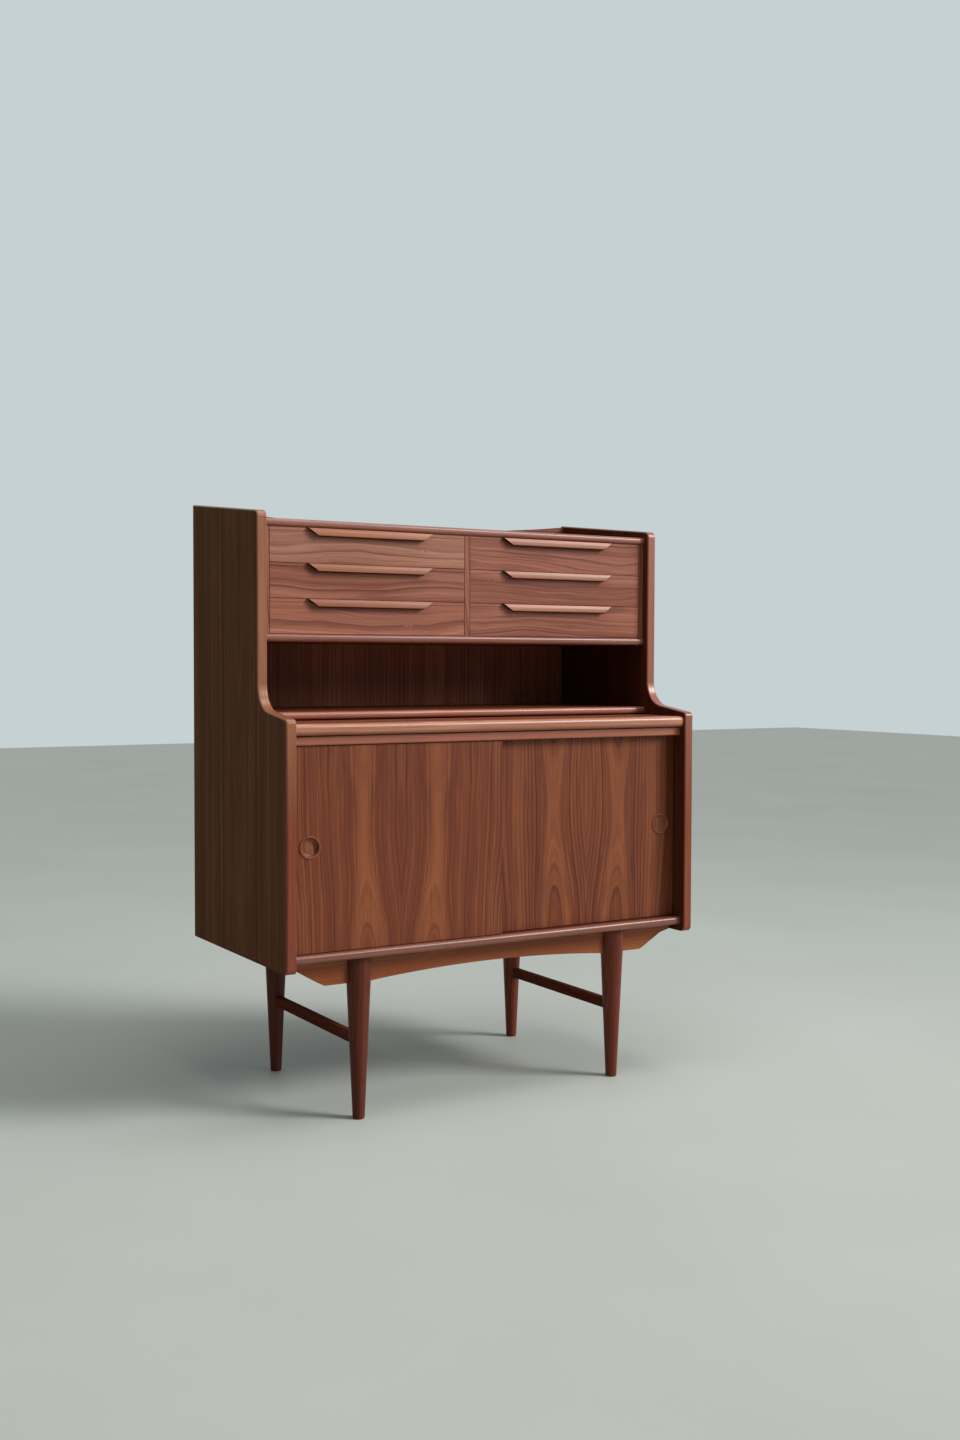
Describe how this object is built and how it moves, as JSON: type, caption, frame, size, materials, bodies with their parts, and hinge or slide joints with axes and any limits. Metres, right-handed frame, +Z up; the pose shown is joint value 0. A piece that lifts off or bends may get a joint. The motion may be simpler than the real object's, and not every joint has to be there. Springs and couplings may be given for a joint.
{
  "type": "secretary chest of drawers",
  "caption": "Tall teak secretary chest: small drawers with lip pulls over an open niche, a pull-out writing slab and a cabinet with by-pass sliding doors, on an arched base with turned legs.",
  "frame": {"origin": "on the floor under the middle of the bounding box", "axes": "+Z up, the front with the doors and drawers at -Y, +X to the right seen from the front"},
  "size_m": [0.89, 0.452, 1.138],
  "materials": {
    "teak_side": "oiled",
    "teak_lipping": "oiled",
    "teak_board": "oiled",
    "teak_rail": "oiled",
    "teak_back": "oiled",
    "beech_runner": "bare",
    "teak_slab": "oiled",
    "teak_slab_lip": "oiled",
    "teak_door": "oiled",
    "teak_ring": "oiled",
    "teak_leg": "oiled",
    "teak_apron": "oiled",
    "steel": "zinc plated",
    "teak_front": "oiled",
    "teak_pull": "oiled",
    "beech_box": "bare"
  },
  "bodies": {
    "cabinet": {"side_left": "teak_side", "side_right": "teak_side", "side_lipping_left": "teak_lipping", "side_lipping_right": "teak_lipping", "top_board": "teak_board", "top_rail": "teak_rail", "back_gallery": "teak_board", "case_wall_left": "teak_board", "case_wall_right": "teak_board", "case_divider": "teak_board", "case_floor": "teak_board", "case_floor_rail": "teak_rail", "niche_floor": "teak_board", "niche_rail": "teak_rail", "slab_runners": "beech_runner", "head_board": "teak_board", "head_rail": "teak_rail", "head_track": "beech_runner", "base_board": "teak_board", "base_rail": "teak_rail", "base_track": "beech_runner", "back_panel_upper": "teak_back", "back_panel_lower": "teak_back", "shelf": "teak_board", "shelf_pins": "steel", "drawer_runners": "beech_runner", "leg_front_left": "teak_leg", "leg_front_right": "teak_leg", "leg_back_left": "teak_leg", "leg_back_right": "teak_leg", "front_apron": "teak_apron", "rear_apron": "teak_apron", "stretcher_left": "teak_leg", "stretcher_right": "teak_leg", "base_screws": "steel"},
    "slab": {"writing_slab": "teak_slab", "slab_lip": "teak_slab_lip", "slab_stop": "beech_runner"},
    "left_door": {"door_left": "teak_door", "door_ring_left": "teak_ring"},
    "right_door": {"door_right": "teak_door", "door_ring_right": "teak_ring"},
    "drawer_left_lower": {"drawer_left_lower_front": "teak_front", "drawer_left_lower_pull": "teak_pull", "drawer_left_lower_box": "beech_box"},
    "drawer_left_middle": {"drawer_left_middle_front": "teak_front", "drawer_left_middle_pull": "teak_pull", "drawer_left_middle_box": "beech_box"},
    "drawer_left_upper": {"drawer_left_upper_front": "teak_front", "drawer_left_upper_pull": "teak_pull", "drawer_left_upper_box": "beech_box"},
    "drawer_right_lower": {"drawer_right_lower_front": "teak_front", "drawer_right_lower_pull": "teak_pull", "drawer_right_lower_box": "beech_box"},
    "drawer_right_middle": {"drawer_right_middle_front": "teak_front", "drawer_right_middle_pull": "teak_pull", "drawer_right_middle_box": "beech_box"},
    "drawer_right_upper": {"drawer_right_upper_front": "teak_front", "drawer_right_upper_pull": "teak_pull", "drawer_right_upper_box": "beech_box"}
  },
  "joints": [
    {"name": "writing_slab_slide", "type": "slide", "parent": "cabinet", "child": "slab", "axis": [0, -1, 0], "range_m": [0, 0.26]},
    {"name": "left_door_slide", "type": "slide", "parent": "cabinet", "child": "left_door", "axis": [1, 0, 0], "range_m": [0, 0.419]},
    {"name": "right_door_slide", "type": "slide", "parent": "cabinet", "child": "right_door", "axis": [-1, 0, 0], "range_m": [0, 0.419]},
    {"name": "drawer_left_lower_slide", "type": "slide", "parent": "cabinet", "child": "drawer_left_lower", "axis": [0, -1, 0], "range_m": [0, 0.2]},
    {"name": "drawer_left_middle_slide", "type": "slide", "parent": "cabinet", "child": "drawer_left_middle", "axis": [0, -1, 0], "range_m": [0, 0.2]},
    {"name": "drawer_left_upper_slide", "type": "slide", "parent": "cabinet", "child": "drawer_left_upper", "axis": [0, -1, 0], "range_m": [0, 0.2]},
    {"name": "drawer_right_lower_slide", "type": "slide", "parent": "cabinet", "child": "drawer_right_lower", "axis": [0, -1, 0], "range_m": [0, 0.2]},
    {"name": "drawer_right_middle_slide", "type": "slide", "parent": "cabinet", "child": "drawer_right_middle", "axis": [0, -1, 0], "range_m": [0, 0.2]},
    {"name": "drawer_right_upper_slide", "type": "slide", "parent": "cabinet", "child": "drawer_right_upper", "axis": [0, -1, 0], "range_m": [0, 0.2]}
  ]
}
